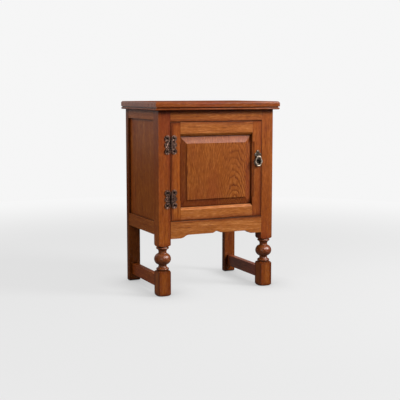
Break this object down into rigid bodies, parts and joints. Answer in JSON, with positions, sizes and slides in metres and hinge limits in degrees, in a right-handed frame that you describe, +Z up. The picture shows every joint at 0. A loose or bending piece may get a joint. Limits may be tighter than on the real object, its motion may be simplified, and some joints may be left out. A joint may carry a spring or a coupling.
{
  "type": "storage side table with door",
  "caption": "Framed oak side cabinet with moulded top, turned front legs, shaped apron, low side stretchers and a hinged raised-panel door with a drop ring pull.",
  "frame": {"origin": "on the floor, under the middle of the top's outline", "axes": "+Z up, +X to the right seen from the front, the door faces -Y"},
  "size_m": [0.457, 0.32, 0.64],
  "materials": {
    "oak_frame": "satin stained oak",
    "oak_top": "satin stained oak",
    "oak_panel": "satin stained oak with figured grain",
    "oak_turning": "satin stained turned oak",
    "back_board": "plain stained board",
    "bare_wood": "plain unfinished hardwood",
    "hinge_bronze": "dark antique bronze relief",
    "pull_brass": "aged brass, worn bright on the edges",
    "screw_steel": "darkened steel",
    "catch_case": "moulded",
    "catch_steel": "plated",
    "magnet": "sintered"
  },
  "bodies": {
    "carcass": {"back_bottom_rail": "oak_frame", "back_panel": "back_board", "back_top_rail": "oak_frame", "cabinet_floor": "back_board", "catch_case": "catch_case", "catch_magnet": "magnet", "catch_pole_plates": "catch_steel", "catch_screws": "screw_steel", "front_apron": "oak_frame", "front_left_baluster": "oak_turning", "front_left_foot": "oak_turning", "front_left_post": "oak_frame", "front_right_baluster": "oak_turning", "front_right_foot": "oak_turning", "front_right_post": "oak_frame", "front_top_rail": "oak_frame", "hinge_post_screws": "screw_steel", "left_bottom_rail": "oak_frame", "left_floor_cleat": "bare_wood", "left_side_panel": "oak_panel", "left_stretcher": "oak_frame", "left_top_rail": "oak_frame", "lower_hinge_pin": "hinge_bronze", "lower_hinge_post_leaf": "hinge_bronze", "rear_left_post": "oak_frame", "rear_right_post": "oak_frame", "right_bottom_rail": "oak_frame", "right_floor_cleat": "bare_wood", "right_side_panel": "oak_panel", "right_stretcher": "oak_frame", "right_top_rail": "oak_frame", "table_top": "oak_top", "top_button_screws": "screw_steel", "top_buttons": "bare_wood", "upper_hinge_pin": "hinge_bronze", "upper_hinge_post_leaf": "hinge_bronze"},
    "door": {"door_hinge_stile": "oak_frame", "door_lock_stile": "oak_frame", "door_top_rail": "oak_frame", "door_bottom_rail": "oak_frame", "door_panel": "oak_panel", "upper_hinge_door_leaf": "hinge_bronze", "lower_hinge_door_leaf": "hinge_bronze", "hinge_door_screws": "screw_steel", "pull_backplate": "pull_brass", "pull_plate_pins": "pull_brass", "pull_stud": "pull_brass", "pull_nut": "screw_steel", "catch_strike": "catch_steel", "strike_screws": "screw_steel"},
    "ring": {"pull_ring": "pull_brass"}
  },
  "joints": [
    {"name": "door_hinge", "type": "hinge", "parent": "carcass", "child": "door", "pos_m": [-0.16925, -0.1437, 0.4115], "axis": [0, 0, -1], "range_deg": [0, 165]},
    {"name": "ring_swing", "type": "hinge", "parent": "door", "child": "ring", "pos_m": [0.1535, -0.149, 0.452], "axis": [-1, 0, 0], "range_deg": [-4, 120]}
  ]
}
